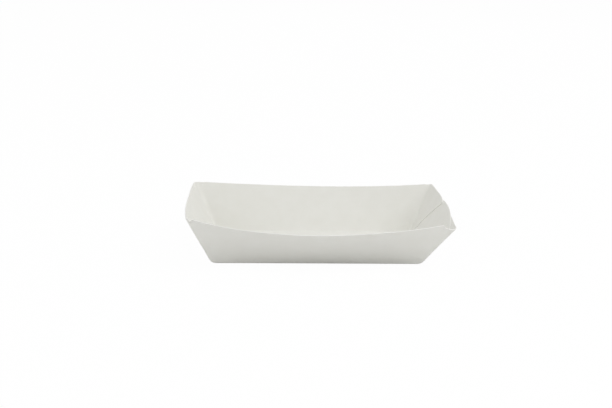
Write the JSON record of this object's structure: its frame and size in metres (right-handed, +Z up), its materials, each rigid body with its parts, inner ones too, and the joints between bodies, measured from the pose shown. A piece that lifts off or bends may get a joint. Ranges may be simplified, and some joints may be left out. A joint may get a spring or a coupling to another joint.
{
  "type": "paper food tray",
  "caption": "Open, shallow food tray folded from a single sheet of white paperboard, with a flat bottom, flared walls and glued ends.",
  "frame": {"origin": "on the underside of the flat bottom, midway between its four folds", "axes": "+X along the length towards the end whose back wing is glued inside, +Y towards the back side wall, +Z up"},
  "size_m": [0.1856, 0.1228, 0.0341],
  "materials": {
    "paperboard": "matte bleached white paperboard, smooth, with very fine fibre grain"
  },
  "bodies": {
    "root": {"folded_tray": "paperboard"}
  },
  "joints": []
}
